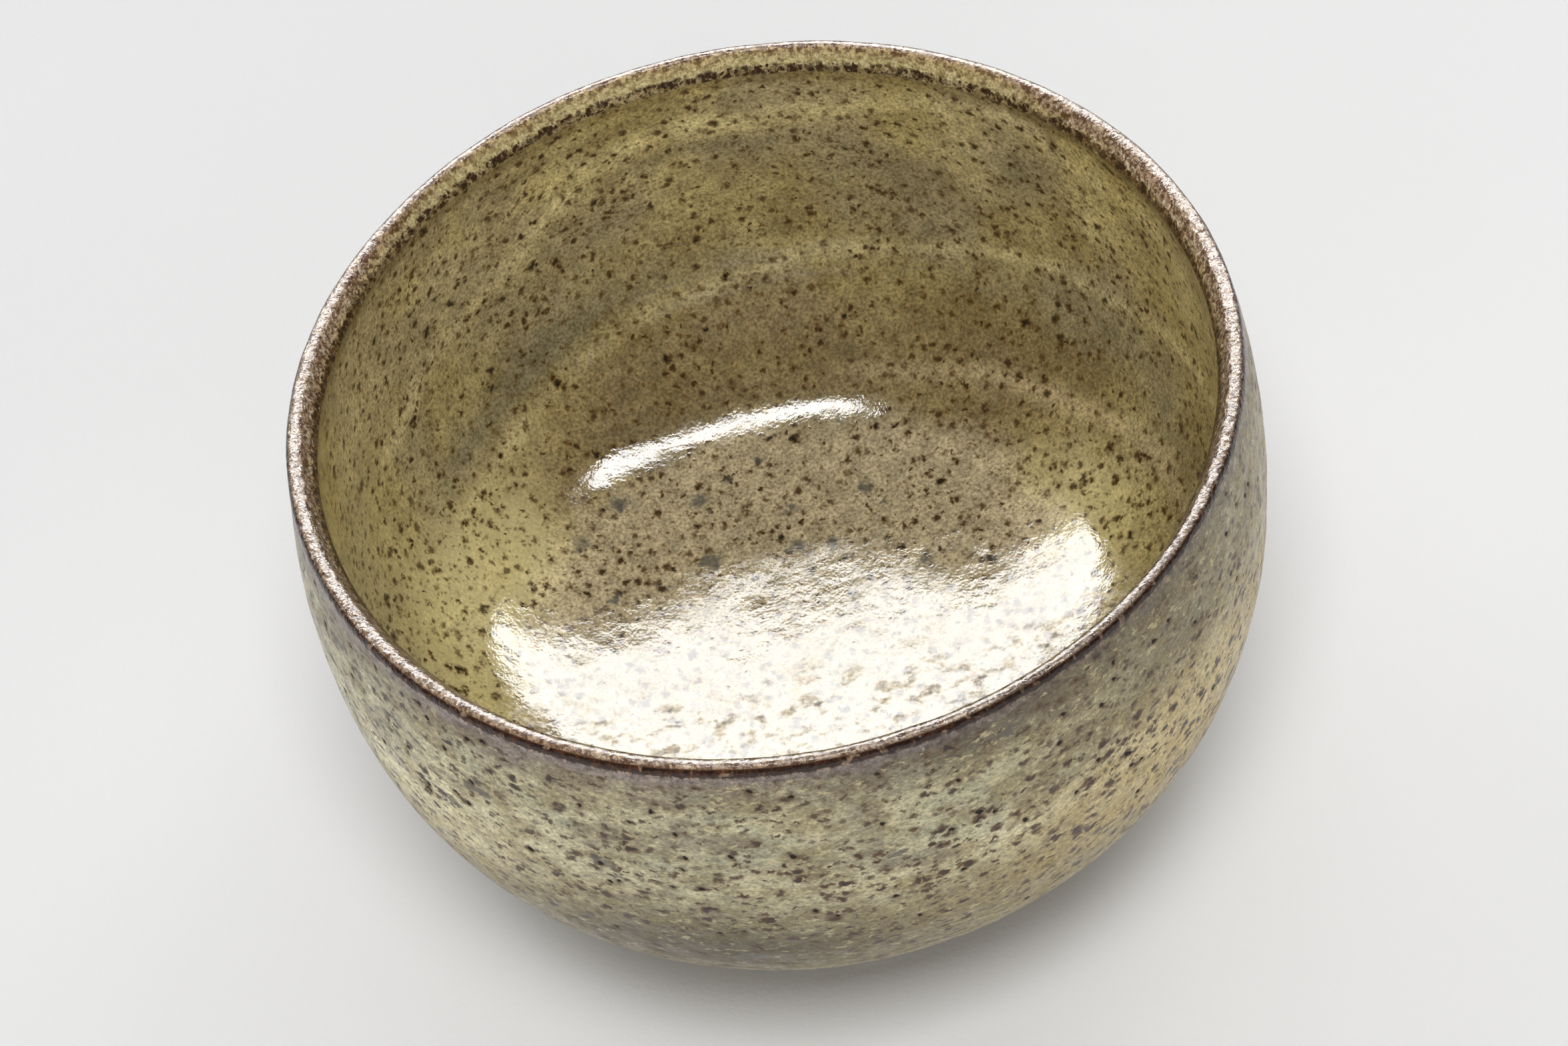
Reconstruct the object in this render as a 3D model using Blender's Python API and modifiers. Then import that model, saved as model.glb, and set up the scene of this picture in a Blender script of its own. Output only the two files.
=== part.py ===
"""Matcha bowl: a thrown stoneware tea bowl with a foot ring and three glaze coats.

The bowl is a stack of turned pieces around the Z axis. One finished-surface profile runs
from the middle of the floor, up the inner wall, over the rounded lip and down the outer
wall to the glaze line. The glaze coats are skins on that profile, the clay body is the
same profile set back by a coat, and the foot ring is luted under the body.

Metres, +Z up. The origin is the centre of the foot's standing face.
"""
import math

import bmesh
import bpy

# Driving dimensions
HEIGHT = 0.074              # standing face to the top of the lip
BELLY_RADIUS = 0.0625       # outer radius where the bowl is widest
BELLY_HEIGHT = 0.050        # height of the widest place
LIP_LEAN = math.radians(12) # how far the wall leans inward at the lip
LIP_RADIUS = 0.0014         # rounding of the lip's top
SHOULDER_DEPTH = 0.0035     # where the inner wall starts to taper to the lip, below its top
SHOULDER_THICKNESS = 0.0044 # wall thickness there, glaze included
BELLY_THICKNESS = 0.0050    # wall thickness at the belly, glaze included

BASE_HEIGHT = 0.008         # underside of the bowl's base, glaze thickness included
BASE_FLAT_RADIUS = 0.025    # flat underside
OUTER_FULLNESS = 2.29       # 2 is an ellipse, more is squarer
FLOOR_HEIGHT = 0.0145       # top of the floor in the middle
FLOOR_FLAT_RADIUS = 0.014
INNER_FULLNESS = 2.4

GLAZE = 0.0005              # thickness of a glaze coat
GAP = 0.0003                # clearance between neighbouring pieces
LIP_BAND_OUTSIDE = 0.0042   # height of the lip's own coat below the top, outside
LIP_BAND_INSIDE = 0.0040    # and inside
GLAZE_LINE_RADIUS = 0.034   # where the outer coat stops, above the foot

FOOT_TOP_RADIUS = 0.0268    # outer radius where the foot meets the body
FOOT_BOTTOM_RADIUS = 0.0255
FOOT_WIDTH = 0.0048
FOOT_EDGE = 0.0007          # rounding of the foot's edges

TURN_STEPS = 64             # facets around the bowl
WALL_POINTS = 10            # profile points along the curved lower wall
UPPER_POINTS = 4            # profile points between the belly and the lip coat
LIP_POINTS = 7              # profile points over the rounded lip
MERGE = 0.00001             # distance under which the turned seam's points join

# Worked out from the above
LIP_CENTRE_HEIGHT = HEIGHT - LIP_RADIUS
WALL_TOP = LIP_CENTRE_HEIGHT + LIP_RADIUS * math.sin(LIP_LEAN)
WALL_TOP_RADIUS = BELLY_RADIUS - (WALL_TOP - BELLY_HEIGHT) * math.tan(LIP_LEAN) / 2
LIP_CENTRE_RADIUS = WALL_TOP_RADIUS - LIP_RADIUS * math.cos(LIP_LEAN)
SHOULDER_HEIGHT = HEIGHT - SHOULDER_DEPTH
INNER_BELLY_RADIUS = BELLY_RADIUS - BELLY_THICKNESS
SKIN = GLAZE + GAP          # from the finished surface to the clay


def outer_radius(height):
    """Finished outer radius of the upper wall, from the belly to the lip."""
    rise = (height - BELLY_HEIGHT) / (WALL_TOP - BELLY_HEIGHT)
    return BELLY_RADIUS - (BELLY_RADIUS - WALL_TOP_RADIUS) * rise ** 2


def inner_radius(height):
    """Finished inner radius of the upper wall, from the belly to the shoulder."""
    shoulder_radius = outer_radius(SHOULDER_HEIGHT) - SHOULDER_THICKNESS
    rise = (height - BELLY_HEIGHT) / (SHOULDER_HEIGHT - BELLY_HEIGHT)
    return INNER_BELLY_RADIUS - (INNER_BELLY_RADIUS - shoulder_radius) * rise ** 2


def upper_wall(radius_at, low, high, count):
    """Points up the wall between two heights, both ends included."""
    heights = [low + (high - low) * i / (count - 1) for i in range(count)]
    return [(radius_at(height), height) for height in heights]


def lower_wall(flat_radius, belly_radius, base_height, fullness, first_radius):
    """Points up a rounded quarter curve, from a radius near the flat to below the belly."""
    first_out = (first_radius - flat_radius) / (belly_radius - flat_radius)
    first_turn = math.acos(first_out ** (fullness / 2))
    points = []
    for i in range(WALL_POINTS):
        turn = first_turn * (1 - i / WALL_POINTS)
        out = abs(math.cos(turn)) ** (2 / fullness)
        down = math.sin(turn) ** (2 / fullness)
        radius = flat_radius + (belly_radius - flat_radius) * out
        points.append((radius, BELLY_HEIGHT - (BELLY_HEIGHT - base_height) * down))
    return points


def lip_arc():
    """Points over the rounded lip, from the end of the inner taper to the outer wall."""
    across = LIP_CENTRE_RADIUS - inner_radius(SHOULDER_HEIGHT)
    up = LIP_CENTRE_HEIGHT - SHOULDER_HEIGHT
    taper = math.atan2(up, across) + math.asin(LIP_RADIUS / math.hypot(across, up))
    first_turn = taper + math.pi / 2
    points = []
    for i in range(LIP_POINTS):
        turn = LIP_LEAN + (first_turn - LIP_LEAN) * (1 - i / (LIP_POINTS - 1))
        points.append((LIP_CENTRE_RADIUS + LIP_RADIUS * math.cos(turn),
                       LIP_CENTRE_HEIGHT + LIP_RADIUS * math.sin(turn)))
    return points


def inner_wall(top):
    """Finished inner surface, from the middle of the floor up to a height."""
    curve = lower_wall(FLOOR_FLAT_RADIUS, INNER_BELLY_RADIUS, FLOOR_HEIGHT,
                       INNER_FULLNESS, FLOOR_FLAT_RADIUS)
    wall = upper_wall(inner_radius, BELLY_HEIGHT, top, UPPER_POINTS)
    return [(0.0, FLOOR_HEIGHT)] + curve + wall


def outer_wall(top, last_radius):
    """Finished outer surface, from a height down to a radius on the underside."""
    curve = lower_wall(BASE_FLAT_RADIUS, BELLY_RADIUS, BASE_HEIGHT,
                       OUTER_FULLNESS, last_radius)
    wall = upper_wall(outer_radius, BELLY_HEIGHT, top, UPPER_POINTS)
    return wall[::-1] + curve[::-1]


def set_back(points, distance):
    """The same profile moved into the material, whose side is to the right of travel."""
    moved = []
    for i, (radius, height) in enumerate(points):
        before = points[max(i - 1, 0)]
        after = points[min(i + 1, len(points) - 1)]
        along = (after[0] - before[0], after[1] - before[1])
        length = math.hypot(*along)
        moved.append((radius + distance * along[1] / length,
                      height - distance * along[0] / length))
    return moved


def make_material(name, colour, roughness):
    """A dielectric surface with one colour and roughness."""
    material = bpy.data.materials.new(name)
    material.use_nodes = True
    surface = material.node_tree.nodes["Principled BSDF"]
    surface.inputs["Base Color"].default_value = (*colour, 1.0)
    surface.inputs["Roughness"].default_value = roughness
    surface.inputs["Metallic"].default_value = 0.0
    return material


def turned(name, points, closed, material, collection):
    """Turn a profile around Z. A closed profile is a ring, an open one ends on the axis."""
    mesh = bpy.data.meshes.new(name)
    profile = bmesh.new()
    corners = [profile.verts.new((radius, 0.0, height)) for radius, height in points]
    for start, end in zip(corners, corners[1:]):
        profile.edges.new((start, end))
    if closed:
        profile.edges.new((corners[-1], corners[0]))
    profile.to_mesh(mesh)
    profile.free()

    piece = bpy.data.objects.new(name, mesh)
    collection.objects.link(piece)
    screw = piece.modifiers.new("turn", "SCREW")
    screw.axis = "Z"
    screw.steps = TURN_STEPS
    screw.render_steps = TURN_STEPS
    screw.use_merge_vertices = True
    screw.merge_threshold = MERGE
    screw.use_smooth_shade = True
    mesh.materials.append(material)
    return piece


def skin_profile(surface):
    """Closed profile of a coat: the finished surface and the same surface set back."""
    return surface + set_back(surface, GLAZE)[::-1]


def make_clay_body(collection):
    """The thrown wall and floor, in one piece, a coat's depth inside the finished surface."""
    outside = outer_wall(WALL_TOP, BASE_FLAT_RADIUS)
    surface = inner_wall(SHOULDER_HEIGHT) + lip_arc() + outside[1:] + [(0.0, BASE_HEIGHT)]
    clay = make_material("stoneware", (0.36, 0.24, 0.15), 0.85)
    return turned("clay_body", set_back(surface, SKIN), False, clay, collection)


def make_foot_ring(collection):
    """The luted-on foot ring, slightly narrower where it stands than where it joins."""
    top = BASE_HEIGHT + SKIN - GAP
    points = [
        (FOOT_TOP_RADIUS, top),
        (FOOT_BOTTOM_RADIUS, FOOT_EDGE),
        (FOOT_BOTTOM_RADIUS - FOOT_EDGE, 0.0),
        (FOOT_BOTTOM_RADIUS - FOOT_WIDTH + FOOT_EDGE, 0.0),
        (FOOT_BOTTOM_RADIUS - FOOT_WIDTH, FOOT_EDGE),
        (FOOT_TOP_RADIUS - FOOT_WIDTH - FOOT_EDGE, top),
    ]
    clay = make_material("bare_clay", (0.42, 0.28, 0.18), 0.9)
    return turned("foot_ring", points, True, clay, collection)


def make_outer_glaze(collection):
    """The coat on the outside, from under the lip's coat down to the glaze line."""
    surface = outer_wall(HEIGHT - LIP_BAND_OUTSIDE - GAP, GLAZE_LINE_RADIUS)
    glaze = make_material("outer_glaze", (0.45, 0.42, 0.30), 0.4)
    return turned("outer_glaze", skin_profile(surface), True, glaze, collection)


def make_inner_glaze(collection):
    """The liner coat over the floor and up the inside, to under the lip's coat."""
    surface = inner_wall(HEIGHT - LIP_BAND_INSIDE - GAP)
    glaze = make_material("inner_glaze", (0.42, 0.35, 0.20), 0.15)
    return turned("inner_glaze", skin_profile(surface), False, glaze, collection)


def make_lip_band(collection):
    """The iron-brown coat that caps the lip, between the inner and the outer coat."""
    inside = upper_wall(inner_radius, HEIGHT - LIP_BAND_INSIDE, SHOULDER_HEIGHT, 2)
    outside = upper_wall(outer_radius, HEIGHT - LIP_BAND_OUTSIDE, WALL_TOP, 2)[::-1]
    surface = inside + lip_arc() + outside[1:]
    glaze = make_material("lip_band", (0.20, 0.10, 0.06), 0.25)
    return turned("lip_band", skin_profile(surface), True, glaze, collection)


def main():
    for item in list(bpy.data.objects):
        bpy.data.objects.remove(item, do_unlink=True)
    bowl = bpy.data.collections.new("matcha_bowl")
    bpy.context.scene.collection.children.link(bowl)

    pieces = [
        make_clay_body(bowl),
        make_foot_ring(bowl),
        make_outer_glaze(bowl),
        make_inner_glaze(bowl),
        make_lip_band(bowl),
    ]
    stand = bpy.data.objects.new("matcha_bowl", None)
    bowl.objects.link(stand)
    for piece in pieces:
        piece.parent = stand


main()
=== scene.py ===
"""Matcha bowl: the glazed surfaces, foot, light and camera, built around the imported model.

The finished surface is one turned profile, from the middle of the floor, up the inner wall,
over the lip and down the outer wall to the glaze line. It is moved by layers of noise,
throwing ridges and pits, and then cut into the three glaze coats. The clay body follows its
slower shapes a skin's depth inside, and the foot ring stands below.

Lengths are in metres, +Z up, except where a comment says mm. "Travel" is the distance
along the profile from the crest of the lip, in mm: positive outside, negative inside.
"""
import math

import bpy
import numpy as np
from mathutils import Matrix, Vector


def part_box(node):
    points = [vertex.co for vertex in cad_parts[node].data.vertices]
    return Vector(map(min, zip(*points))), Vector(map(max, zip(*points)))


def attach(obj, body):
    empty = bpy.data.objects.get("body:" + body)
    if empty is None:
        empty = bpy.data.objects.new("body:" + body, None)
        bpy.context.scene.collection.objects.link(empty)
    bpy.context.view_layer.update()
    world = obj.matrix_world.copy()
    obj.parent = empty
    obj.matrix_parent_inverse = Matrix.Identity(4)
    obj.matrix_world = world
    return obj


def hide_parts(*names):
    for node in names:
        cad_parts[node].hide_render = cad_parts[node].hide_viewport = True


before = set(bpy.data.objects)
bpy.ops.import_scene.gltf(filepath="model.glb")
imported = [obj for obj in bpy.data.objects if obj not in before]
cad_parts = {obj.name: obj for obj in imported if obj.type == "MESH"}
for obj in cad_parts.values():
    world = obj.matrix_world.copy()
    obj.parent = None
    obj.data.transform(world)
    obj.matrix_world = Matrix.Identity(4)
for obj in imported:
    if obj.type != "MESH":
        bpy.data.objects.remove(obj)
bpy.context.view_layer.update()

MM = 0.001

# ------------------------------------------------------------------ sizes

OUTER_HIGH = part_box("outer_glaze")[1]
INNER_LOW, INNER_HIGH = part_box("inner_glaze")
LIP_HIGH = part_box("lip_band")[1]
FOOT_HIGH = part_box("foot_ring")[1]
CLAY_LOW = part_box("clay_body")[0]

GLAZE = 0.5 * MM                        # thickness of a coat
SKIN = 0.8 * MM                         # from the finished surface to the clay
HEIGHT = LIP_HIGH.z
BELLY_RADIUS = OUTER_HIGH.x
BELLY_HEIGHT = 50 * MM
BELLY_THICKNESS = 5 * MM
LIP_LEAN = math.radians(12)
LIP_RADIUS = 1.4 * MM
SHOULDER_HEIGHT = HEIGHT - 3.5 * MM
SHOULDER_THICKNESS = 4.4 * MM
BASE_HEIGHT = CLAY_LOW.z - SKIN
BASE_FLAT_RADIUS = 25 * MM
OUTER_FULLNESS = 2.29
FLOOR_HEIGHT = INNER_LOW.z + GLAZE
FLOOR_FLAT_RADIUS = 14 * MM
INNER_FULLNESS = 2.4
GLAZE_LINE_RADIUS = 34 * MM
FOOT_RADIUS = FOOT_HIGH.x
FOOT_WIDTH = 4.8 * MM
FOOT_TAPER = 1.3 * MM                   # how much narrower the foot is where it stands
FOOT_INNER_TAPER = 0.5 * MM             # the same inside the ring
FOOT_EDGE = 0.7 * MM
FOOT_FILLET = 0.9 * MM                  # filled joint between the foot and the clay
FOOT_OVERLAP = 0.1 * MM                 # how far the foot's top is pressed into the clay

DISH_RADIUS = 32 * MM                   # how wide the floor is worn down
PINHOLES = 300

# Depths of the relief, in mm
INSET = 0.30                            # room for the relief inside the CAD box
ROUND_ERROR = 0.22
FACETS = 0.15                           # flats left by turning, outside
SWELL = 0.14                            # long waves from throwing, inside
DISH = 0.5
LIGHT_RIDGE = 0.22
ARC_RIDGE = 0.12
SHADE_HOLLOW = 0.18
TURNING_LINES = 0.030
PEBBLES = 0.045
GRAINS = 0.028
PINHOLE_DEPTH = 0.26
PEEL = 0.030                            # the slightly uneven face of a glossy glaze
LIP_BEADS = 0.06
LIP_RIPPLE = 0.025
LIP_SINKING = 0.20                      # the lip's top lies lower by this, give or take as much
UNDER_GROOVES = 0.10                    # the spiral that turning leaves on the bare underside
UNDER_GRAINS = 0.06
FOOT_MARKS = 0.06                       # trimming marks around the foot
FOOT_GRAINS = 0.05
FOOT_INSET = 0.10                       # room for the foot's relief inside the CAD box

# Depths of the materials' own fine relief, in mm for a height of 1
INNER_BUMP = 0.05
OUTER_BUMP = 0.10
LIP_BUMP = 0.17
CLAY_BUMP = 0.12
FLOOR_BUMP = 0.05

# ------------------------------------------------------------------ mesh steps

COLUMNS = 640
INNER_STEP = 0.80 * MM
LIP_STEP = 0.26 * MM
OUTER_STEP = 0.62 * MM
FOOT_STEP = 0.22 * MM
FOOT_COLUMNS = 400
FOOT_SOFTENING = 4                      # smoothing passes over the foot's outline
UNDER_ROWS = 150                        # rows over the bare underside
BACK_EVERY = 9                          # a hidden row for every so many shown rows
CLAY_EVERY = 3                          # the hidden clay follows every third row
PIT_REACH = 6                           # rows and columns around a pinhole that it changes

# ------------------------------------------------------------------ throwing lines

# Lines in the inner glaze, each as angles (degrees) and travels. 90 degrees is the back.
UPPER_WAVE = ((-60, -20), (0, -17), (10, -16), (22, -11), (36, -13), (46, -9), (60, -10),
              (75, -14), (85, -14.5), (95, -13), (105, -15), (113, -19), (122, -25),
              (150, -32), (200, -36))
SPIRAL_START = (150, -50)
SPIRAL_CLIMB = 0.137                    # mm of travel gained over each degree
FLOOR_ARC = ((-90, -30), (0, -46), (20, -49), (40, -53), (60, -56), (80, -58))
STREAKS = ((54, -12, -27), (35, -15, -25), (12, -14, -24))   # angle, travels of the ends

# Large pale and dark patches in the glazes, partly glaze colour and partly painted light and
# shade: painted light on the inner side walls, painted shade inside under the back of the lip
# and low at the front outside. Each gives the middle's angle and travel, the half widths in
# degrees and mm, and how much lighter or darker the patch is.
GLAZE_AND_PAINTED_LIGHT_PATCHES = ((172, -30, 24, 22, 0.95), (170, -54, 24, 9, 1.25), (8, -22, 22, 20, 0.70),
           (14, -60, 24, 8, 0.90), (72, -23, 34, 6, -0.25), (150, -58, 12, 7, 0.90),
           (132, -50, 12, 6, 0.40), (80, -47, 24, 5, 0.30), (105, -9.5, 28, 2.5, -0.30),
           (185, -1.5, 44, 3, -0.30), (-50, -0.5, 50, 3, -0.15), (8, -14, 16, 5, 0.30),
           (-150, 21, 26, 9, 0.60), (-144, 31, 14, 9, 0.75), (-108, 39, 28, 11, -0.72),
           (-60, 3, 45, 4, -0.45), (-82, 7, 14, 3, -0.25), (-48, 12, 22, 7, -0.42),
           (-90, 17, 34, 4, -0.20), (-70, 24, 30, 3, 0.15), (-38, 31, 26, 10, 0.75))


def finished_profile():
    """Fine points of the finished surface, in the order of travel: floor, wall, lip, outside."""
    centre_height = HEIGHT - LIP_RADIUS
    outer_top = centre_height + LIP_RADIUS * math.sin(LIP_LEAN)
    outer_top_radius = BELLY_RADIUS - (outer_top - BELLY_HEIGHT) * math.tan(LIP_LEAN) / 2
    centre_radius = outer_top_radius - LIP_RADIUS * math.cos(LIP_LEAN)

    outside = upper_curve(BELLY_RADIUS, outer_top_radius, outer_top)
    shoulder_radius = np.interp(SHOULDER_HEIGHT, outside[:, 1], outside[:, 0])
    shoulder_radius -= SHOULDER_THICKNESS
    inner_belly = BELLY_RADIUS - BELLY_THICKNESS

    across = centre_radius - shoulder_radius
    up = centre_height - SHOULDER_HEIGHT
    taper = math.atan2(up, across) + math.asin(LIP_RADIUS / math.hypot(across, up))
    turn = np.linspace(taper + math.pi / 2, LIP_LEAN, 200)
    arc = np.stack([centre_radius + LIP_RADIUS * np.cos(turn),
                    centre_height + LIP_RADIUS * np.sin(turn)], 1)

    floor = np.stack([np.linspace(0, FLOOR_FLAT_RADIUS, 50), np.full(50, FLOOR_HEIGHT)], 1)
    bowl = quarter_curve(FLOOR_FLAT_RADIUS, inner_belly, FLOOR_HEIGHT, INNER_FULLNESS,
                         FLOOR_FLAT_RADIUS)[::-1]
    wall = upper_curve(inner_belly, shoulder_radius, SHOULDER_HEIGHT)
    under = quarter_curve(BASE_FLAT_RADIUS, BELLY_RADIUS, BASE_HEIGHT, OUTER_FULLNESS,
                          GLAZE_LINE_RADIUS)
    return np.concatenate([floor, bowl[1:], wall[1:], arc, outside[::-1][1:], under[1:]])


def upper_curve(belly_radius, top_radius, top_height):
    """Fine points up from the belly, leaning in more and more."""
    rise = np.linspace(0, 1, 200)
    radius = belly_radius - (belly_radius - top_radius) * rise ** 2
    return np.stack([radius, BELLY_HEIGHT + (top_height - BELLY_HEIGHT) * rise], 1)


def quarter_curve(flat_radius, belly_radius, base_height, fullness, last_radius):
    """Fine points down a rounded quarter curve, from the belly to a radius near the flat."""
    last_out = (last_radius - flat_radius) / (belly_radius - flat_radius)
    turn = np.linspace(0, math.acos(last_out ** (fullness / 2)), 400)
    out = np.maximum(np.cos(turn), 0) ** (2 / fullness)   # rounding could put it below 0
    radius = flat_radius + (belly_radius - flat_radius) * out
    height = BELLY_HEIGHT - (BELLY_HEIGHT - base_height) * np.sin(turn) ** (2 / fullness)
    return np.stack([radius, height], 1)


def under_line():
    """Radius and height of the finished underside, from the middle out to the belly."""
    curve = quarter_curve(BASE_FLAT_RADIUS, BELLY_RADIUS, BASE_HEIGHT, OUTER_FULLNESS,
                          BASE_FLAT_RADIUS)[::-1]
    radius = np.concatenate([[0], curve[:, 0]])
    height = np.concatenate([[BASE_HEIGHT], curve[:, 1]])
    return radius, height


# ------------------------------------------------------------------ noise

def smooth_noise(points, size, seed):
    """Value noise from -1 to 1 at 3-D points, with lumps about one size across."""
    rng = np.random.default_rng(seed)
    order = rng.permutation(256)
    values = rng.uniform(-1, 1, 256)
    place = points / size + 1000        # moved over, so that no place is negative
    cell = np.floor(place).astype(int)
    part = place - cell
    part = part * part * (3 - 2 * part)
    total = 0
    for corner in np.ndindex(2, 2, 2):
        at = [(cell[..., k] + corner[k]) & 255 for k in range(3)]
        key = order[(order[(order[at[0]] + at[1]) & 255] + at[2]) & 255]
        weight = 1
        for k in range(3):
            weight = weight * (part[..., k] if corner[k] else 1 - part[..., k])
        total = total + values[key] * weight
    return total


def fade(value, low, high):
    """0 at low, 1 at high, smooth between and level beyond."""
    part = np.clip((value - low) / (high - low), 0, 1)
    return part * part * (3 - 2 * part)


def bump(value, middle, width):
    """A smooth bump, 1 in the middle and about 0 at two widths away."""
    return np.exp(-((value - middle) / width) ** 2)


def even(start, end, step):
    """Values from start to end, about a step apart."""
    return np.linspace(start, end, max(2, round((end - start) / step) + 1))


# ------------------------------------------------------------------ the surface

class Surface:
    """The finished surface as a grid: rows in the order of travel, columns around."""

    def __init__(self):
        line = finished_profile()
        reach = np.concatenate([[0], np.cumsum(np.hypot(*np.diff(line, axis=0).T))])
        crest = reach[np.argmax(line[:, 1])]
        inside = reach < crest
        inner_seam = np.interp(INNER_HIGH.z, line[inside, 1], reach[inside])
        outer_seam = np.interp(-OUTER_HIGH.z, -line[~inside, 1], reach[~inside])

        # The first row is 1 mm from the axis, around the middle of the floor.
        steps = [even(1.0 * MM, inner_seam, INNER_STEP),
                 even(inner_seam, outer_seam, LIP_STEP)[1:],
                 even(outer_seam, reach[-1], OUTER_STEP)[1:]]
        self.inner_rows = len(steps[0])
        self.outer_start = self.inner_rows + len(steps[1]) - 1
        self.line = line
        self.reach = reach
        self.crest = crest
        self.travel = (np.concatenate(steps) - crest) / MM
        self.angle = np.arange(COLUMNS) * 2 * math.pi / COLUMNS
        self.out = np.stack([np.cos(self.angle), np.sin(self.angle), 0 * self.angle], 1)

        # The glaze line above the foot wanders by about 2 mm, and the last 9 mm move with it.
        last = self.travel[-1]
        sway = 1.6 * smooth_noise(self.out * 3, 1, 31) + 0.5 * smooth_noise(self.out * 9, 1, 32)
        hem = fade(self.travel, last - 9, last)[:, None] * sway[None]
        self.still, self.normal = self.placed(self.travel[:, None] + hem)
        self.lines = self.glaze_lines()
        self.tone = self.glaze_and_painted_light_tone()
        self.pit = self.pit_distance()
        self.form = self.slow_relief()
        self.moved = self.lowered(self.still, self.form + self.fine_relief(), slice(None))

    def placed(self, travel):
        """Points and outward normals of the plain turned surface at travels for each column.

        Past its end the profile goes on straight.
        """
        at = travel * MM + self.crest
        along = np.gradient(self.line, self.reach, axis=0)
        along /= np.hypot(*along.T)[:, None]
        beyond = np.maximum(at - self.reach[-1], 0)
        radius = np.interp(at, self.reach, self.line[:, 0]) + beyond * along[-1, 0]
        height = np.interp(at, self.reach, self.line[:, 1]) + beyond * along[-1, 1]
        points = radius[..., None] * self.out
        points[..., 2] = height
        normal = np.interp(at, self.reach, -along[:, 1])[..., None] * self.out
        normal[..., 2] = np.interp(at, self.reach, along[:, 0])
        normal /= np.linalg.norm(normal, axis=2, keepdims=True)
        return points, normal

    def lowered(self, points, relief, rows):
        """Points moved out by a relief in mm, and down by the lip's slight waviness."""
        moved = points + self.normal[rows] * (relief * MM)[..., None]
        near_lip = fade(points[..., 2], HEIGHT - 25 * MM, HEIGHT)
        sinking = LIP_SINKING * (1 + smooth_noise(self.out * 1.3, 1, 10))
        moved[..., 2] -= near_lip * sinking * MM
        return moved

    def set_back(self, distance, rows):
        """The slow surface, moved into the clay, on some of its rows."""
        return self.lowered(self.still[rows], self.form[rows] - distance / MM, rows)

    def around(self, length, width):
        """Coordinates in which noise is so long around the bowl and so wide along travel."""
        flat = np.empty(self.still.shape)
        flat[...] = self.out[None] * 60 * MM / length
        flat[..., 2] = self.travel[:, None] * MM / width
        return flat

    def sides(self):
        """How much each row belongs to the inside, the lip and the outside."""
        inside = 1 - fade(self.travel, -6, -2.5)
        outside = fade(self.travel, 1.5, 6)
        return [part[:, None] for part in (inside, 1 - inside - outside, outside)]

    def slow_relief(self):
        """Out-of-round, turning facets and throwing ridges, in mm."""
        inside, _, outside = self.sides()
        round_error = ROUND_ERROR * smooth_noise(self.still, 45 * MM, 1)
        facets = FACETS * smooth_noise(self.around(55 * MM, 7 * MM), 1, 2)
        swell = SWELL * smooth_noise(self.around(60 * MM, 10 * MM), 1, 6)
        light, shade, arc = self.lines
        ridges = LIGHT_RIDGE * light + ARC_RIDGE * arc - SHADE_HOLLOW * shade
        radius = np.hypot(self.still[..., 0], self.still[..., 1])
        swell = swell * fade(radius, 4 * MM, 22 * MM)
        dish = -DISH * np.cos(np.pi * np.clip(radius / DISH_RADIUS, 0, 1))
        dish = dish * (1 - fade(self.travel, -70, -45))[:, None]
        return round_error - INSET + outside * facets + inside * (swell + ridges + dish)

    def fine_relief(self):
        """Turning lines, pebbling, glaze waves and pinholes, in mm."""
        inside, lip, outside = self.sides()
        lines = TURNING_LINES * smooth_noise(self.around(28 * MM, 1.5 * MM), 1, 3)
        pebbles = PEBBLES * smooth_noise(self.still, 3.2 * MM, 4)
        grains = GRAINS * smooth_noise(self.still, 1.4 * MM, 5)
        holes = PINHOLE_DEPTH * (1 - fade(self.pit, 0, 0.75))
        peel = PEEL * smooth_noise(self.still, 3.2 * MM, 7)
        beads = LIP_BEADS * smooth_noise(self.still, 4.5 * MM, 8)
        ripple = LIP_RIPPLE * smooth_noise(self.still, 1.5 * MM, 9)
        return (outside * (lines + pebbles + grains - holes) + inside * peel
                + lip * (beads + ripple))

    def glaze_lines(self):
        """The light lines, the dark pooled bands and the floor arc, each from 0 to 1.

        Their widths are in mm across the lines and in degrees around the bowl.
        """
        travel = self.travel[:, None]
        degrees = np.degrees(self.angle)
        degrees = np.where(degrees > 270, degrees - 360, degrees)
        wander = 0.8 * smooth_noise(self.out * 4, 1, 12)
        wave = np.interp(degrees, *np.array(UPPER_WAVE).T) + wander
        spiral = SPIRAL_START[1] + (SPIRAL_START[0] - degrees) * SPIRAL_CLIMB + 0.7 * wander
        ends = fade(degrees, -85, -60) * (1 - fade(degrees, 135, 175))
        light = 0.9 * bump(travel, wave, 2.1) * ends
        light += bump(travel, spiral, 1.3) * ends * (0.5 + 0.5 * fade(degrees, 130, 60))
        for middle, top, bottom in STREAKS:
            long = fade(travel, bottom - 3, bottom + 2) * (1 - fade(travel, top, top + 2))
            light += 0.8 * long * bump(degrees, middle, 3.5)
        arc = bump(travel, np.interp(degrees, *np.array(FLOOR_ARC).T) + wander, 1.6)
        arc = arc * fade(degrees, -100, -60) * (1 - fade(degrees, 60, 85))
        shade = 0.9 * bump(travel, spiral + 5.0, 2.8) * bump(degrees, 130, 30)
        under = bump(travel, wave - 4.0, 1.6) * bump(degrees, 93, 14)
        under = under + bump(travel, -18, 4.5) * (bump(degrees, 45, 5) + bump(degrees, 24, 6))
        shade = shade + 0.6 * under
        return np.clip(light, 0, 1), np.clip(shade, 0, 1), arc

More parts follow.
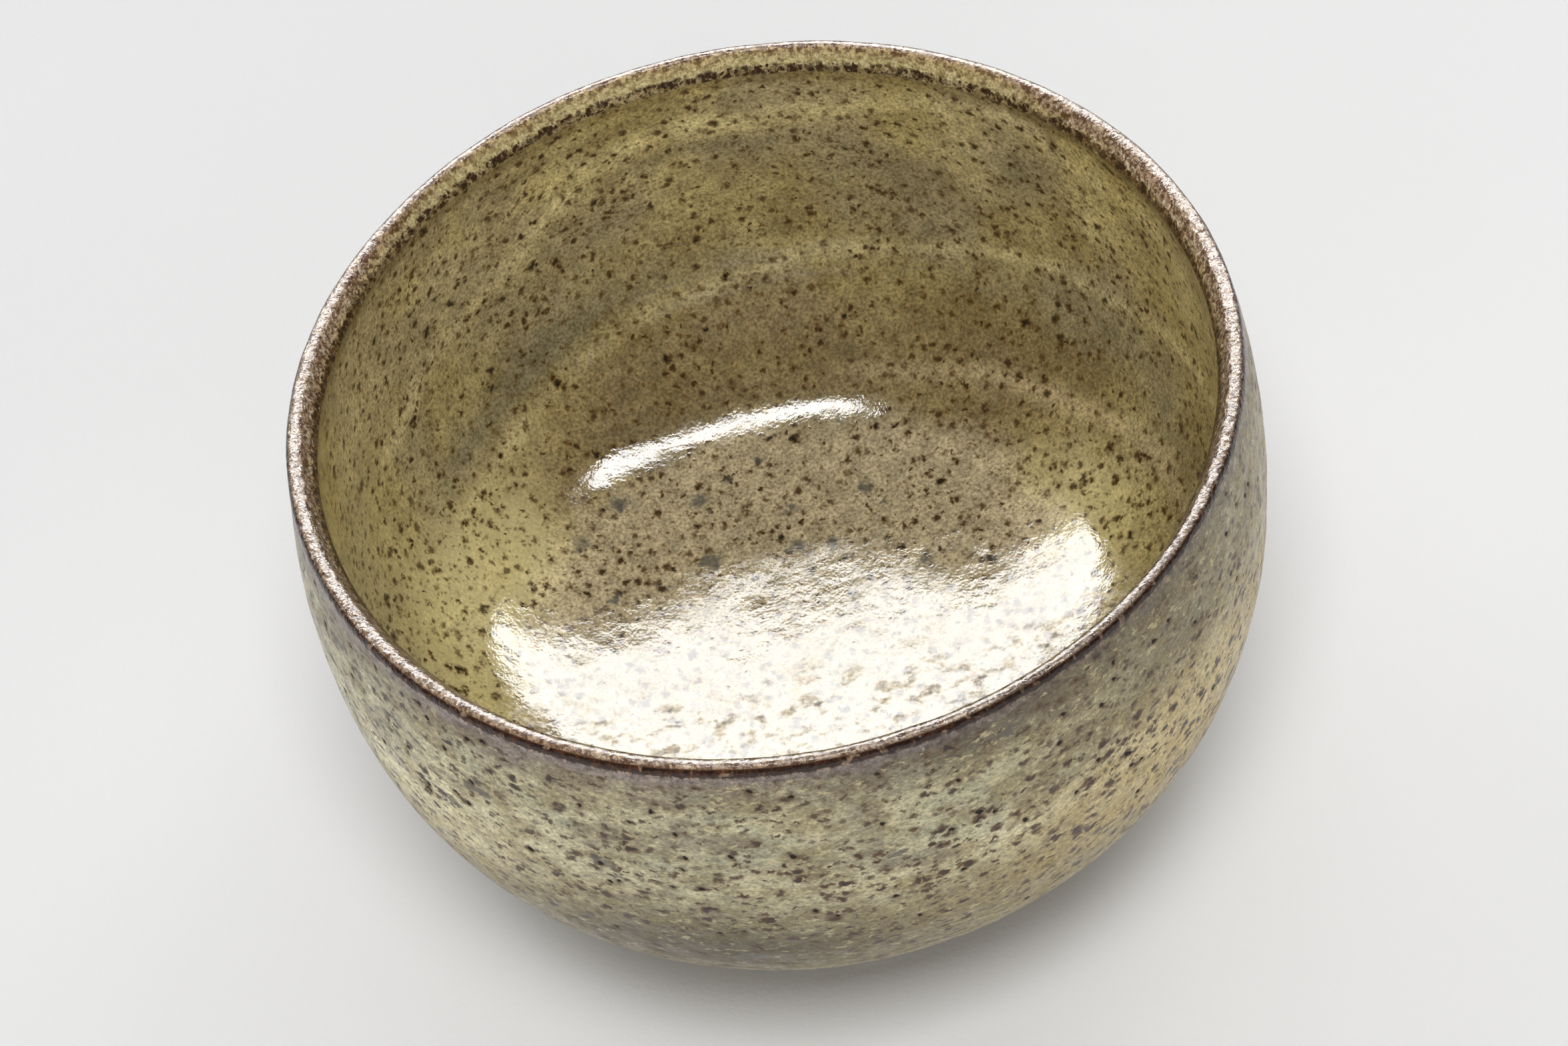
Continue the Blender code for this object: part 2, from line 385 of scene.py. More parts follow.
    def glaze_and_painted_light_tone(self):
        """How much lighter or darker than 1 the glaze is, from its large patches, partly glaze
        colour and partly painted light and shade.
        """
        tone = np.ones(self.still.shape[:2])
        degrees = np.degrees(self.angle)
        travel = self.travel[:, None]
        for angle, middle, wide, high, change in GLAZE_AND_PAINTED_LIGHT_PATCHES:
            apart = (degrees - angle + 180) % 360 - 180
            tone += change * bump(apart, 0, wide) * bump(travel, middle, high)
        return tone

    def pit_distance(self):
        """Distance in mm from each point to the nearest pinhole, up to 3 mm.

        Pinholes crowd in the upper part of the outside, about 14 mm from the lip's crest.
        """
        rng = np.random.default_rng(41)
        distance = np.full(self.still.shape[:2], 3.0)
        near = np.arange(-PIT_REACH, PIT_REACH + 1)
        made = 0
        while made < PINHOLES:
            row = rng.integers(self.outer_start - 4, len(self.travel) - 8)
            column = rng.integers(COLUMNS)
            if rng.random() > 0.35 + 0.65 * bump(self.travel[row], 14, 14):
                continue
            made += 1
            columns = (column + near) % COLUMNS
            window = slice(row - PIT_REACH, row + PIT_REACH + 1)
            apart = self.still[window][:, columns] - self.still[row, column]
            away = np.linalg.norm(apart, axis=2) / MM
            distance[window, columns] = np.minimum(distance[window, columns], away)
        return distance


# ------------------------------------------------------------------ meshes

def crease(mesh, columns, rings):
    """Sharp edges along some rows of a grid, so that the shading isn't rounded there."""
    ends = np.empty(2 * len(mesh.edges), np.int32)
    mesh.edges.foreach_get("vertices", ends)
    row = ends.reshape(-1, 2) // columns
    sharp = (row[:, 0] == row[:, 1]) & np.isin(row[:, 0], rings)
    layer = mesh.attributes.new("sharp_edge", "BOOLEAN", "EDGE")
    layer.data.foreach_set("value", sharp)


def grid_piece(name, rows, closed, marks, node, creases=()):
    """A piece from rows of points around the axis, with numbers stored for its material.

    A closed grid is a ring. An open one is capped at its first and last row. Creases are the
    rows whose edges stay sharp.
    """
    count, columns = rows.shape[:2]
    row = np.arange(count if closed else count - 1)
    row, column = [part.ravel() for part in np.meshgrid(row, np.arange(columns), indexing="ij")]
    next_row = (row + 1) % count
    next_column = (column + 1) % columns
    quads = np.stack([row * columns + column, next_row * columns + column,
                      next_row * columns + next_column, row * columns + next_column], 1)
    faces = quads.tolist()
    vertices = rows.reshape(-1, 3)
    if not closed:
        ring = np.arange(columns)
        after = np.roll(ring, -1)
        last = (count - 1) * columns
        first_hub = np.full(columns, len(vertices))         # the caps' middles come last
        faces += np.stack([ring, after, first_hub], 1).tolist()
        faces += np.stack([last + after, last + ring, first_hub + 1], 1).tolist()
        vertices = np.concatenate([vertices, [rows[0].mean(axis=0), rows[-1].mean(axis=0)]])
    mesh = bpy.data.meshes.new(name)
    mesh.from_pydata(vertices.tolist(), [], faces)
    mesh.shade_smooth()
    crease(mesh, columns, creases)
    for key, values in marks.items():
        flat = values.ravel()
        if not closed:
            flat = np.concatenate([flat, [values[0].mean(), values[-1].mean()]])
        layer = mesh.attributes.new(key, "FLOAT", "POINT")
        layer.data.foreach_set("value", flat.astype(np.float32))
    piece = bpy.data.objects.new(name, mesh)
    bpy.context.scene.collection.objects.link(piece)
    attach(piece, "root")
    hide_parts(node)
    return piece


def coat(surface, name, first, last, node):
    """One glaze coat: rows of the finished surface, and the same surface a coat deeper."""
    shown = np.arange(first, last + 1)
    hidden = np.unique(np.append(np.arange(last, first, -BACK_EVERY), first))[::-1]
    rows = np.concatenate([surface.moved[shown], surface.set_back(GLAZE, hidden)])
    order = np.concatenate([shown, hidden])
    travel = np.repeat(surface.travel[:, None], COLUMNS, 1)
    light, shade, arc = surface.lines
    # The tone mark carries the patches, partly glaze colour and partly painted light and shade.
    marks = {"travel": travel[order], "light": light[order], "shade": shade[order],
             "arc": arc[order], "pit": surface.pit[order], "tone": surface.tone[order]}
    is_ring = first > 0                 # the inner coat isn't, as it covers the floor's middle
    seams = (0, len(shown) - 1) if is_ring else (len(shown) - 1,)
    return grid_piece(name, rows, is_ring, marks, node, seams)


def clay_piece(surface):
    """The thrown clay, a skin's depth inside the glaze, with its turned underside."""
    last = len(surface.travel) - 1
    rows = np.unique(np.append(np.arange(0, last + 1, CLAY_EVERY), last))
    skin = surface.set_back(SKIN, rows)[:, ::2]
    out = surface.out[::2]
    edge = np.hypot(skin[-1, :, 0], skin[-1, :, 1])
    line_radius, line_height = under_line()
    under = []
    for part in np.linspace(1, 0.02, UNDER_ROWS)[1:]:
        radius = part * edge
        ring = radius[:, None] * out
        turning = UNDER_GROOVES * np.sin(radius / (0.55 * MM) + surface.angle[::2])
        turning = turning + UNDER_GRAINS * smooth_noise(ring, 1.1 * MM, 21)
        ring[:, 2] = np.interp(radius, line_radius, line_height) + SKIN + turning * MM
        under.append(ring)
    whole = np.concatenate([skin, np.array(under)])
    marks = {"radius": np.hypot(whole[..., 0], whole[..., 1]) / MM}
    return grid_piece("clay_body_thrown", whole, False, marks, "clay_body")


def foot_outline():
    """Fine points around the foot's section, corners softened, and their places along it."""
    top = BASE_HEIGHT + SKIN + FOOT_OVERLAP
    outer = FOOT_RADIUS - FOOT_TAPER
    inner = outer - FOOT_WIDTH
    inner_top = inner + FOOT_INNER_TAPER
    corners = [(FOOT_RADIUS + FOOT_FILLET, top), (FOOT_RADIUS, top - FOOT_FILLET),
               (outer, FOOT_EDGE), (outer - FOOT_EDGE, 0),
               (inner + FOOT_EDGE, 0), (inner, FOOT_EDGE),
               (inner_top, top - FOOT_FILLET), (inner_top - FOOT_FILLET, top)]
    points = np.array(corners + corners[:1])
    reach = np.concatenate([[0], np.cumsum(np.hypot(*np.diff(points, axis=0).T))])
    place = even(0, reach[-1], FOOT_STEP)[:-1]
    outline = np.stack([np.interp(place, reach, points[:, k]) for k in (0, 1)], 1)
    for _ in range(FOOT_SOFTENING):
        outline = (np.roll(outline, 1, 0) + 2 * outline + np.roll(outline, -1, 0)) / 4
    return outline, place


def foot_piece():
    """The foot ring, turned from its outline, with trimming marks."""
    outline, place = foot_outline()
    angle = np.arange(FOOT_COLUMNS) * 2 * math.pi / FOOT_COLUMNS
    out = np.stack([np.cos(angle), np.sin(angle), 0 * angle], 1)
    rows = outline[:, 0, None, None] * out[None]
    rows[..., 2] = outline[:, 1, None]
    along = np.roll(outline, -1, 0) - np.roll(outline, 1, 0)
    normal = np.stack([-along[:, 1], along[:, 0]], 1) / np.hypot(*along.T)[:, None]
    flat = np.empty(rows.shape)
    flat[...] = out[None] * 5
    flat[..., 2] = place[:, None] / (0.9 * MM)
    marks = FOOT_MARKS * smooth_noise(flat, 1, 22)
    grains = FOOT_GRAINS * smooth_noise(rows, 1.2 * MM, 23)
    standing = fade(rows[..., 2], 0, 0.3 * MM)
    relief = (marks + grains - FOOT_INSET) * MM * standing
    rows += (normal[:, 0, None] * relief)[..., None] * out[None]
    rows[..., 2] = np.maximum(rows[..., 2] + normal[:, 1, None] * relief, 0)
    radius = np.hypot(rows[..., 0], rows[..., 1]) / MM
    return grid_piece("foot_ring_trimmed", rows, True, {"radius": radius},
                      "foot_ring")


# ------------------------------------------------------------------ material tools

def paint(red, green, blue):
    """Linear colour from everyday 0 to 255 display values."""
    parts = [value / 255 for value in (red, green, blue)]
    linear = [part / 12.92 if part <= 0.04045 else ((part + 0.055) / 1.055) ** 2.4
              for part in parts]
    return (*linear, 1.0)


class Nodes:
    """Short ways to add nodes to one material."""

    def __init__(self, name):
        self.material = bpy.data.materials.new(name)
        self.material.use_nodes = True
        self.tree = self.material.node_tree
        self.shader = self.tree.nodes["Principled BSDF"]
        place = self.add("ShaderNodeTexCoord").outputs["Object"]
        self.place = self.scaled(place, (1 / MM, 1 / MM, 1 / MM))

    def along(self, axis):
        """One coordinate of the place in mm: 0 is to the right, 1 to the back, 2 up."""
        split = self.add("ShaderNodeSeparateXYZ")
        self.feed(split.inputs[0], self.place)
        return split.outputs[axis]

    def add(self, kind, **settings):
        node = self.tree.nodes.new(kind)
        for key, value in settings.items():
            setattr(node, key, value)
        return node

    def feed(self, socket, value):
        if isinstance(value, bpy.types.NodeSocket):
            self.tree.links.new(value, socket)
        else:
            socket.default_value = value

    def scaled(self, vector, factors):
        node = self.add("ShaderNodeVectorMath", operation="MULTIPLY")
        self.feed(node.inputs[0], vector)
        self.feed(node.inputs[1], factors)
        return node.outputs[0]

    def shifted(self, vector, offset):
        node = self.add("ShaderNodeVectorMath", operation="ADD")
        self.feed(node.inputs[0], vector)
        self.feed(node.inputs[1], offset)
        return node.outputs[0]

    def maths(self, operation, first, second=0.0):
        node = self.add("ShaderNodeMath", operation=operation)
        self.feed(node.inputs[0], first)
        self.feed(node.inputs[1], second)
        return node.outputs[0]

    def times(self, first, second):
        return self.maths("MULTIPLY", first, second)

    def plus(self, first, second):
        return self.maths("ADD", first, second)

    def step(self, value, low, high, bottom=0.0, top=1.0):
        """bottom at low, top at high, smooth between and level beyond."""
        node = self.add("ShaderNodeMapRange", interpolation_type="SMOOTHSTEP")
        if low > high:
            low, high, bottom, top = high, low, top, bottom
        for key, part in (("From Min", low), ("From Max", high), ("To Min", bottom),
                          ("To Max", top)):
            node.inputs[key].default_value = part
        self.feed(node.inputs["Value"], value)
        return node.outputs[0]

    def band(self, value, low, high, soft):
        """1 between low and high, 0 outside, with soft edges."""
        rising = self.step(value, low - soft, low + soft)
        falling = self.step(value, high + soft, high - soft)
        return self.times(rising, falling)

    def mix(self, factor, first, second):
        node = self.add("ShaderNodeMix", data_type="RGBA")
        self.feed(node.inputs["Factor"], factor)
        self.feed(node.inputs[6], first)
        self.feed(node.inputs[7], second)
        return node.outputs[2]

    def blend(self, factor, first, second):
        node = self.add("ShaderNodeMix", data_type="FLOAT")
        self.feed(node.inputs["Factor"], factor)
        self.feed(node.inputs[2], first)
        self.feed(node.inputs[3], second)
        return node.outputs[0]

    def mark(self, name):
        return self.add("ShaderNodeAttribute", attribute_name=name).outputs["Fac"]

    def noise(self, size, detail=2.0, seed=0, stretch=(1, 1, 1), rough=0.5):
        """Noise from 0 to 1, with lumps about size mm across."""
        factors = tuple(1 / (size * part) for part in stretch)
        node = self.add("ShaderNodeTexNoise", noise_dimensions="3D")
        moved = self.shifted(self.scaled(self.place, factors), (seed * 7.3, seed * 3.1, 0))
        self.feed(node.inputs["Vector"], moved)
        node.inputs["Scale"].default_value = 1.0
        node.inputs["Detail"].default_value = detail
        node.inputs["Roughness"].default_value = rough
        return node.outputs["Fac"]

    def ragged(self, size, amount, seed):
        """The place, moved about by up to an amount in mm, for uneven edges."""
        node = self.add("ShaderNodeTexNoise", noise_dimensions="3D")
        moved = self.shifted(self.scaled(self.place, (1 / size,) * 3), (seed, seed * 2, 0))
        self.feed(node.inputs["Vector"], moved)
        node.inputs["Scale"].default_value = 1.0
        centred = self.shifted(node.outputs["Color"], (-0.5, -0.5, -0.5))
        return self.shifted(self.place, self.scaled(centred, (2 * amount,) * 3))

    def speck(self, cell, radius, seed, skew=1.0, stretch=(1, 1, 1)):
        """Scattered ragged spots, one in each cell, from 0.4 of the radius to all of it.

        The value is 0 in the middle of a spot and 1 at its edge. A skew over 1 makes more of
        the spots small.
        """
        factors = tuple(1 / (cell * part) for part in stretch)
        node = self.add("ShaderNodeTexVoronoi", voronoi_dimensions="3D", feature="F1")
        place = self.scaled(self.ragged(1.2 * radius, 1.2 * radius, seed), factors)
        self.feed(node.inputs["Vector"], self.shifted(place, (seed * 5.7, seed, seed * 2.3)))
        node.inputs["Scale"].default_value = 1.0
        split = self.add("ShaderNodeSeparateColor")
        self.feed(split.inputs[0], node.outputs["Color"])
        size = self.maths("POWER", split.outputs[0], skew)
        size = self.step(size, 0.0, 1.0, 0.4 * radius / cell, radius / cell)
        return self.maths("DIVIDE", node.outputs["Distance"], size)

    def spots(self, cell, radius, seed, skew=1.0, stretch=(1, 1, 1)):
        """The same spots, 1 inside and 0 outside, with soft edges."""
        near = self.speck(cell, radius, seed, skew, stretch)
        return self.step(near, 1.45, 0.55)

    def shaded(self, colour, amount):
        """A colour made lighter or darker by an amount around 1."""
        node = self.add("ShaderNodeVectorMath", operation="SCALE")
        self.feed(node.inputs[0], colour)
        self.feed(node.inputs["Scale"], amount)
        return node.outputs[0]

    def finish(self, colour, roughness, height, depth):
        """Colour, roughness and relief to the shader. Depth is in mm for heights 0 to 1."""
        self.feed(self.shader.inputs["Base Color"], colour)
        self.feed(self.shader.inputs["Roughness"], roughness)
        relief = self.add("ShaderNodeBump")
        relief.inputs["Distance"].default_value = depth * MM
        self.feed(relief.inputs["Height"], height)
        self.feed(self.shader.inputs["Normal"], relief.outputs[0])
        return self.material


# ------------------------------------------------------------------ colours

INNER_DEEP = paint(146, 130, 84)
INNER_PALE = paint(166, 151, 102)
INNER_GREY = paint(141, 131, 104)
INNER_FLOOR = paint(175, 160, 127)
# Low back inner wall: partly darker glaze, partly painted shade
INNER_BACK_GLAZE_AND_SHADE = paint(112, 95, 62)
# Under the lip's inner edge: partly olive glaze, partly painted shade
INNER_OLIVE_AND_SHADE = paint(104, 84, 42)
LINE_DEEP = paint(172, 158, 110)
LINE_PALE = paint(184, 171, 126)
FLOOR_LINE = paint(182, 162, 124)
POOLED_SHADE = paint(112, 106, 84)
# Painted light on the inner side walls
PAINTED_LIGHT_GLOW = paint(202, 190, 136)
INNER_FINE_SPECK = paint(92, 72, 34)
INNER_RUST = paint(100, 70, 26)
INNER_IRON = paint(46, 34, 13)
INNER_BIG_RUST = paint(84, 58, 24)
INNER_BIG_IRON = paint(30, 23, 12)
INNER_BLUE = paint(78, 78, 72)

OUTER_DEEP = paint(152, 140, 104)
OUTER_PALE = paint(192, 184, 150)
OUTER_BROWN = paint(118, 106, 90)
OUTER_GREEN = paint(180, 181, 152)
# Low outside: partly olive-brown glaze, partly painted shade
OUTER_LOW_AND_SHADE = paint(148, 130, 80)
OUTER_WARM = paint(160, 138, 84)
MAUVE_BROWN = paint(118, 102, 88)
MAUVE_PALE = paint(158, 144, 138)
OUTER_CREAM = paint(212, 198, 152)
OUTER_FINE_SPECK = paint(74, 54, 30)
OUTER_RUST = paint(88, 57, 25)
OUTER_IRON = paint(38, 24, 11)
OUTER_BLUE = paint(86, 82, 74)
PINHOLE_RIM = paint(84, 60, 40)
PINHOLE_DARK = paint(22, 14, 9)

LIP_TAN = (paint(94, 67, 38), paint(184, 160, 114))
LIP_MAUVE = (paint(100, 71, 50), paint(178, 152, 124))
LIP_CREAM = (paint(156, 138, 90), paint(196, 181, 134))
LIP_LINE = (paint(42, 22, 12), paint(82, 48, 26))
LIP_WALL = (paint(112, 98, 90), paint(160, 147, 142))
LIP_SPOT = paint(92, 62, 28)
# Painted glint
LIP_PAINTED_GLINT = paint(232, 216, 194)
LIP_EDGE = paint(84, 54, 26)
LIP_CLUMP = paint(52, 33, 14)

BODY_CLAY = (paint(142, 104, 72), paint(166, 128, 92))
FOOT_CLAY = (paint(134, 96, 66), paint(160, 120, 86))
TOASTED_CLAY = paint(110, 66, 40)
GROG = paint(196, 168, 132)
CLAY_IRON = paint(52, 34, 24)
FLOOR_GREYS = (paint(224, 224, 224), paint(228, 228, 228))

BODY_TOASTED_FROM = 22                  # radius in mm beyond which the bare clay is toasted
FOOT_TOASTED_FROM = 24


# ------------------------------------------------------------------ materials
#
# Sizes, places along the travel and spot radii in these functions are in mm. The factors of
# n.mix and the tops of n.step are strengths from 0 to 1, and the factors given to n.shaded are
# brightness around 1.

def inner_look(n):
    """Colour, roughness and height of the glossy olive-beige liner glaze."""
    travel = n.mark("travel")
    tone = n.step(n.noise(8, detail=3, seed=1), 0.35, 0.65)
    colour = n.mix(tone, INNER_DEEP, INNER_PALE)
    grey = n.step(n.noise(20, detail=2, seed=3), 0.4, 0.62, 0, 0.6)
    colour = n.mix(grey, colour, INNER_GREY)
    # Painted light: the upper inner wall is made lighter and the lower wall darker, as light falls
    # into the bowl.
    colour = n.shaded(colour, n.step(travel, -42, -12, 0.80, 1.55))

    floor_edge = n.plus(travel, n.times(n.noise(9, detail=2, seed=4), 10))
    floor = n.step(floor_edge, -54, -62)
    colour = n.mix(n.times(floor, 0.85), colour, INNER_FLOOR)
    # A darker band low on the back inner wall: partly darker glaze, partly painted shade.
    back = n.step(n.along(1), 14, 30)
    dark_glaze_and_painted_shade = n.times(n.times(n.band(travel, -62, -44, 4), 0.65), back)
    colour = n.mix(dark_glaze_and_painted_shade, colour, INNER_BACK_GLAZE_AND_SHADE)
    # A darker olive band just under the lip's inner edge: partly olive glaze, partly painted shade
    # under the lip.
    olive_edge = n.plus(travel, n.times(n.noise(3, detail=2, seed=5), 2.0))
    olive = n.band(olive_edge, -5.6, -3.0, 0.8)
    colour = n.mix(n.times(olive, 0.5), colour, INNER_OLIVE_AND_SHADE)

    # The pale lines get the same painted light, lighter up the wall.
    pale = n.shaded(n.mix(tone, LINE_DEEP, LINE_PALE), n.step(travel, -42, -12, 0.95, 1.55))
    colour = n.mix(n.times(n.mark("light"), 0.7), colour, pale)
    colour = n.mix(n.times(n.mark("arc"), 0.5), colour, FLOOR_LINE)
    colour = n.mix(n.times(n.mark("shade"), 0.7), colour, POOLED_SHADE)

    mottle = n.step(n.noise(2.4, detail=2, seed=16), 0.3, 0.7, 0.84, 1.16)
    grain = n.step(n.noise(0.45, detail=2, seed=2, rough=0.6), 0.28, 0.72, 0.62, 1.38)
    # The tone mark is partly glaze colour and partly painted light and shade.
    colour = n.shaded(colour, n.times(n.times(mottle, grain), n.mark("tone")))
    # Where the tone is highest, a pale painted glow: painted light on the inner side walls.
    colour = n.mix(n.step(n.mark("tone"), 1.2, 2.2, 0, 0.6), colour, PAINTED_LIGHT_GLOW)

    crowd = n.step(n.noise(7, detail=2, seed=6), 0.34, 0.6, 0.65, 1.0)
    fine = n.spots(1.0, 0.30, seed=11)
    colour = n.mix(n.times(fine, 0.65), colour, INNER_FINE_SPECK)
    near = n.speck(1.55, 0.66, seed=12)
    rust = n.times(n.step(near, 1.45, 0.5), crowd)
    colour = n.mix(n.times(rust, 0.8), colour, INNER_RUST)
    iron = n.times(n.step(near, 1.0, 0.3), crowd)
    colour = n.mix(n.times(iron, 0.9), colour, INNER_IRON)
    big = n.speck(3.9, 0.90, seed=13, skew=1.4)
    colour = n.mix(n.step(big, 1.35, 0.5, 0, 0.8), colour, INNER_BIG_RUST)
    colour = n.mix(n.step(big, 0.95, 0.3, 0, 0.95), colour, INNER_BIG_IRON)
    blue = n.spots(6.0, 1.3, seed=14, skew=1.4)
    colour = n.mix(n.times(blue, n.times(floor, 0.75)), colour, INNER_BLUE)

    roughness = n.step(n.noise(4, detail=2, seed=8), 0.3, 0.7, 0.06, 0.12)
    dull = n.noise(2.4, detail=5, seed=17, stretch=(1.6, 1.0, 1.0), rough=0.74)
    dull = n.step(dull, 0.47, 0.66)
    low_front = n.times(n.step(travel, -48, -58), n.step(n.along(1), 2, -8))
    roughness = n.plus(roughness, n.times(n.times(dull, low_front), 0.40))
    waves = n.times(n.noise(1.7, detail=1, seed=9), 0.65)
    peel = n.times(n.noise(0.4, detail=1, seed=10), 0.26)
    height = n.plus(n.plus(waves, peel), n.times(rust, -0.08))
    return colour, roughness, height


def outer_look(n):
    """Colour, roughness and height of the satin grey-green coat outside."""
    travel = n.mark("travel")
    long = (1.5, 1.5, 0.8)
    tone = n.noise(4.5, detail=4, seed=21, stretch=long, rough=0.62)
    colour = n.mix(n.step(tone, 0.36, 0.62), OUTER_DEEP, OUTER_PALE)
    brown = n.noise(8, detail=3, seed=22, stretch=long, rough=0.65)
    brown = n.times(n.step(brown, 0.50, 0.64), n.step(travel, 46, 22, 0.25, 1.0))
    colour = n.mix(n.times(brown, 0.6), colour, OUTER_BROWN)
    green = n.step(n.noise(7, detail=2, seed=23, stretch=long), 0.56, 0.68)
    colour = n.mix(n.times(green, 0.45), colour, OUTER_GREEN)
    # Darker and warmer low on the outside: partly olive-brown glaze, partly painted shade under the
    # belly.
    low_edge = n.plus(travel, n.times(n.noise(10, detail=2, seed=24), 12))
    colour = n.mix(n.times(n.step(low_edge, 26, 44), 0.8), colour, OUTER_LOW_AND_SHADE)
    colour = n.mix(n.step(n.along(0), 8, 42, 0, 0.55), colour, OUTER_WARM)

    mauve_edge = n.plus(travel, n.times(n.noise(3.5, detail=3, seed=25, stretch=long), 9))
    mauve_side = n.step(n.along(0), 8, 40, 0.85, 0.35)
    mauve = n.times(n.step(mauve_edge, 15, 5), mauve_side)
    colour = n.mix(mauve, colour, MAUVE_BROWN)
    mauve = n.times(n.step(mauve_edge, 8.6, 6.6, 0, 0.6), mauve_side)
    colour = n.mix(mauve, colour, MAUVE_PALE)

    grain = n.noise(0.35, detail=2, seed=26, stretch=(1.3, 1.3, 0.8), rough=0.6)
    coarse = n.noise(0.9, detail=3, seed=30, stretch=(1.4, 1.4, 0.8), rough=0.65)
    grain_tone = n.times(n.step(grain, 0.28, 0.72, 0.70, 1.30),
                         n.step(coarse, 0.34, 0.66, 0.80, 1.20))
    # The tone mark adds glaze patches and painted shade low at the front.
    colour = n.shaded(colour, n.times(grain_tone, n.mark("tone")))
    flecks = n.noise(1.2, detail=3, seed=35, stretch=long, rough=0.7)
    colour = n.mix(n.times(n.step(flecks, 0.56, 0.66), 0.55), colour, OUTER_CREAM)

    crowd = n.step(n.noise(7, detail=2, seed=29), 0.40, 0.58, 0.65, 1.0)
    low_crowd = n.step(travel, 8, 24, 0.7, 1.4)
    fine = n.spots(1.35, 0.46, seed=32, skew=0.9, stretch=(1.2, 1.2, 0.8))
    colour = n.mix(n.times(n.times(fine, crowd), 0.95), colour, OUTER_FINE_SPECK)
    near = n.speck(1.9, 0.88, seed=31, skew=1.15, stretch=(1.25, 1.25, 0.75))
    rust = n.times(n.times(n.step(near, 1.3, 0.5), crowd), low_crowd)
    colour = n.mix(n.times(rust, 0.95), colour, OUTER_RUST)
    iron = n.times(n.step(near, 0.85, 0.3), crowd)
    colour = n.mix(n.times(iron, 0.95), colour, OUTER_IRON)
    blue = n.step(n.speck(9.0, 1.5, seed=33, skew=1.5, stretch=(1.5, 1.5, 0.7)), 1.1, 0.9)
    colour = n.mix(n.times(blue, 0.75), colour, OUTER_BLUE)

    pit = n.plus(n.mark("pit"), n.times(n.noise(0.8, detail=2, seed=34), 1.1))
    colour = n.mix(n.step(pit, 1.60, 0.8, 0, 0.75), colour, PINHOLE_RIM)
    hole = n.step(pit, 0.98, 0.76)
    colour = n.mix(n.times(hole, 0.95), colour, PINHOLE_DARK)

    roughness = n.step(n.noise(3, detail=3, seed=27), 0.3, 0.7, 0.27, 0.45)
    roughness = n.blend(hole, roughness, 0.7)
    height = n.plus(n.times(n.noise(1.4, detail=2, seed=28), 0.6), n.times(grain, 0.4))
    height = n.plus(height, n.times(hole, -1.6))
    return colour, roughness, height


def lip_look(n):
    """Colour, roughness and height of the thin glaze that breaks over the lip."""
    ragged = n.times(n.plus(n.noise(0.9, detail=3, seed=41, rough=0.6), -0.5), 1.2)
    travel = n.plus(n.mark("travel"), ragged)
    fleck = n.noise(0.8, detail=3, seed=42, rough=0.65)
    slow = n.noise(6, detail=2, seed=43)
    tan = n.mix(n.step(fleck, 0.40, 0.60), *LIP_TAN)
    mauve = n.mix(n.step(fleck, 0.40, 0.62), *LIP_MAUVE)
    cream = n.mix(n.step(fleck, 0.34, 0.62), *LIP_CREAM)
    line = n.mix(n.step(fleck, 0.44, 0.68), *LIP_LINE)
    wall = n.mix(n.step(fleck, 0.36, 0.64), *LIP_WALL)
    wall = n.mix(n.step(n.along(0), 8, 40, 0, 0.8), wall, tan)

    side = n.step(n.maths("ABSOLUTE", n.along(0)), 34, 54)
    edge = n.plus(n.plus(travel, n.times(slow, 1.8)), n.times(side, 2.4))
    colour = n.mix(n.step(edge, -2.2, 0.2), cream, tan)
    colour = n.mix(n.step(edge, -0.4, 1.0), colour, mauve)
    spots = n.times(n.spots(1.7, 0.52, seed=44), n.band(travel, -4.2, 0.6, 0.6))
    colour = n.mix(n.times(spots, 0.75), colour, LIP_SPOT)
    colour = n.mix(n.step(travel, 2.1, 2.6), colour, wall)

    line_travel = n.plus(n.mark("travel"), n.times(n.plus(fleck, -0.5), 0.8))
    unbroken = n.step(n.noise(1.3, detail=1, seed=45), 0.62, 0.68, 1.0, 0.4)
    colour = n.mix(n.times(n.band(line_travel, 0.95, 2.30, 0.14), unbroken), colour, line)
    # Painted glints: pale flecks at the lip's two sides stand in for sparkling highlights.
    painted_glints = n.step(n.noise(0.55, detail=2, seed=53, rough=0.6), 0.54, 0.62)
    painted_glints = n.times(n.times(painted_glints, side), n.band(travel, -3.4, 1.0, 0.4))
    colour = n.mix(n.times(painted_glints, 0.6), colour, LIP_PAINTED_GLINT)

    inner_edge = n.times(n.band(travel, -4.7, -3.7, 0.25), n.plus(n.times(side, 0.35), 0.5))
    colour = n.mix(inner_edge, colour, LIP_EDGE)
    clumps = n.times(n.spots(0.85, 0.66, seed=46),
                     n.step(n.noise(3, detail=2, seed=50), 0.30, 0.42, 0.7, 1))
    colour = n.mix(n.times(clumps, n.band(travel, -4.9, -3.2, 0.3)), colour, LIP_CLUMP)
    grain = n.step(n.noise(0.3, detail=2, seed=52, rough=0.6), 0.28, 0.72, 0.66, 1.34)
    # The tone mark is partly glaze colour and partly painted light and shade.
    colour = n.shaded(colour, n.times(grain, n.mark("tone")))

    roughness = n.step(n.noise(1.0, detail=2, seed=47), 0.3, 0.7, 0.12, 0.36)
    beads = n.times(n.noise(1.3, detail=1, seed=49), 0.9)
    height = n.plus(n.times(n.noise(0.45, detail=2, seed=48), 0.5), beads)
    bumpier = n.plus(n.times(side, 1.3), 1.0)
    return colour, roughness, n.times(height, bumpier)


def glaze_material(name, look, depth):
    """A coat with one look. Depth is in mm."""
    n = Nodes(name)
    return n.finish(*look(n), depth)


